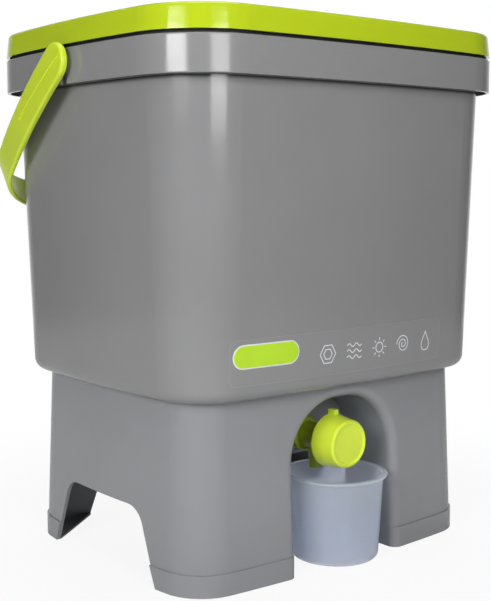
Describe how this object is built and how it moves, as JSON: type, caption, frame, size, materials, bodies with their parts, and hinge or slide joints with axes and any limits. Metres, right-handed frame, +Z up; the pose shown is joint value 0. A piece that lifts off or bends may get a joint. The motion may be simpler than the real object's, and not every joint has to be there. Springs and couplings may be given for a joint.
{
  "type": "bokashi bin",
  "caption": "Lidded plastic tub on an open stand, with a swinging carrying handle, a lift-out strainer and a drain tap over a pull-out cup, for fermenting kitchen scraps.",
  "frame": {"origin": "on the floor under the middle of the tub", "axes": "+Z up, the tap and the cup's niche look along -Y, +X to the right as seen from the front"},
  "size_m": [0.3598, 0.2874, 0.4],
  "materials": {
    "grey_plastic": "moulded, satin gloss",
    "lime_plastic": "moulded, satin gloss",
    "dark_plastic": "moulded, matt",
    "clear_plastic": "milky, see-through",
    "seal_rubber": "matt",
    "screw_steel": "zinc plated"
  },
  "bodies": {
    "bin": {"tub": "grey_plastic", "stand": "grey_plastic", "stand_screws": "screw_steel", "tap_body": "lime_plastic", "tap_outer_washer": "seal_rubber", "tap_inner_washer": "seal_rubber", "tap_back_nut": "lime_plastic"},
    "lid": {"lid": "lime_plastic", "lid_seal": "seal_rubber"},
    "handle": {"carrying_handle": "lime_plastic"},
    "knob": {"tap_knob": "lime_plastic", "tap_plug_ring": "seal_rubber"},
    "cup": {"collection_cup": "clear_plastic"},
    "strainer": {"strainer_plate": "dark_plastic"}
  },
  "joints": [
    {"name": "lid_lift", "type": "slide", "parent": "bin", "child": "lid", "axis": [0, 0, 1], "range_m": [0, 0.12]},
    {"name": "handle_swing", "type": "hinge", "parent": "bin", "child": "handle", "pos_m": [0, 0.0012, 0.3703], "axis": [1, 0, 0], "range_deg": [0, 244]},
    {"name": "tap_turn", "type": "hinge", "parent": "bin", "child": "knob", "pos_m": [0, -0.08, 0.0905], "axis": [0, 1, 0], "range_deg": [0, 90]},
    {"name": "cup_pull", "type": "slide", "parent": "bin", "child": "cup", "axis": [0, -1, 0], "range_m": [0, 0.12]},
    {"name": "strainer_lift", "type": "slide", "parent": "bin", "child": "strainer", "axis": [0, 0, 1], "range_m": [0, 0.2]}
  ]
}
